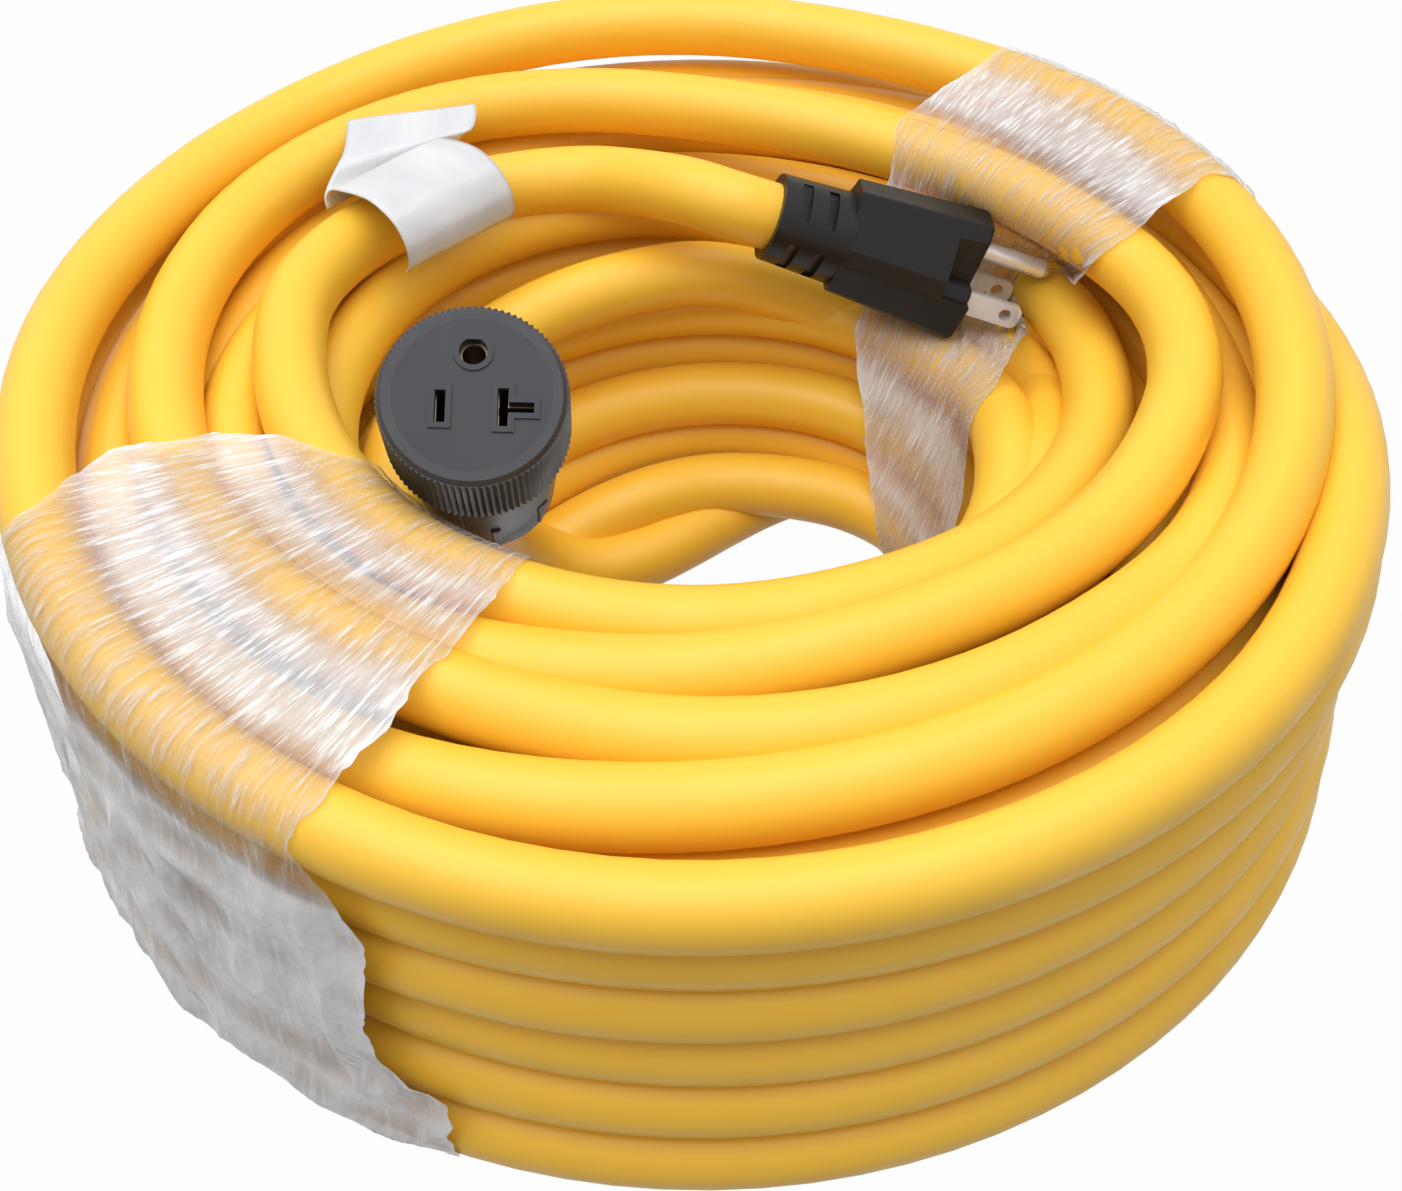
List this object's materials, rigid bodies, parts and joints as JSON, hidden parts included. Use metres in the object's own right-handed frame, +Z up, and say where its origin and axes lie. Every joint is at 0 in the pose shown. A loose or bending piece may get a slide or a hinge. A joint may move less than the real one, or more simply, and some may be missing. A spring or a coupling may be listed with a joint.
{
  "type": "shore power cord",
  "caption": "Coiled heavy yellow power cord with a black moulded straight-blade plug and a round dark grey moulded connector, held by two bands of clear stretch film.",
  "frame": {"origin": "bottom centre of the coil's bounding box, on the surface it stands on", "axes": "+Z up along the coil's axis; +Y towards the plug; the connector's face leans towards -Y"},
  "size_m": [0.3128, 0.3128, 0.1297],
  "materials": {
    "cord_jacket": "satin",
    "plug_moulding": "satin",
    "connector_moulding": "satin",
    "connector_face": "satin",
    "plug_core": "satin",
    "nickel_brass": "polished",
    "contact_brass": "satin",
    "copper": "satin",
    "wire_black": "satin",
    "wire_white": "satin",
    "wire_green": "satin",
    "tag_film": "satin",
    "stretch_film": "glossy"
  },
  "bodies": {
    "root": {"coil_turns": "cord_jacket", "coil_core": "cord_jacket", "plug_lead": "cord_jacket", "connector_lead": "cord_jacket", "plug_overmould": "plug_moulding", "plug_blade_holder": "plug_core", "plug_hot_blade": "nickel_brass", "plug_neutral_blade": "nickel_brass", "plug_ground_pin": "nickel_brass", "plug_black_insulation": "wire_black", "plug_white_insulation": "wire_white", "plug_green_insulation": "wire_green", "plug_black_copper": "copper", "plug_white_copper": "copper", "plug_green_copper": "copper", "connector_overmould": "connector_moulding", "connector_contact_carrier": "connector_face", "connector_hot_contact": "contact_brass", "connector_neutral_contact": "contact_brass", "connector_ground_contact": "contact_brass", "connector_black_insulation": "wire_black", "connector_white_insulation": "wire_white", "connector_green_insulation": "wire_green", "connector_black_copper": "copper", "connector_white_copper": "copper", "connector_green_copper": "copper", "cord_tag": "tag_film", "stretch_film_front": "stretch_film", "stretch_film_back": "stretch_film"}
  },
  "joints": []
}
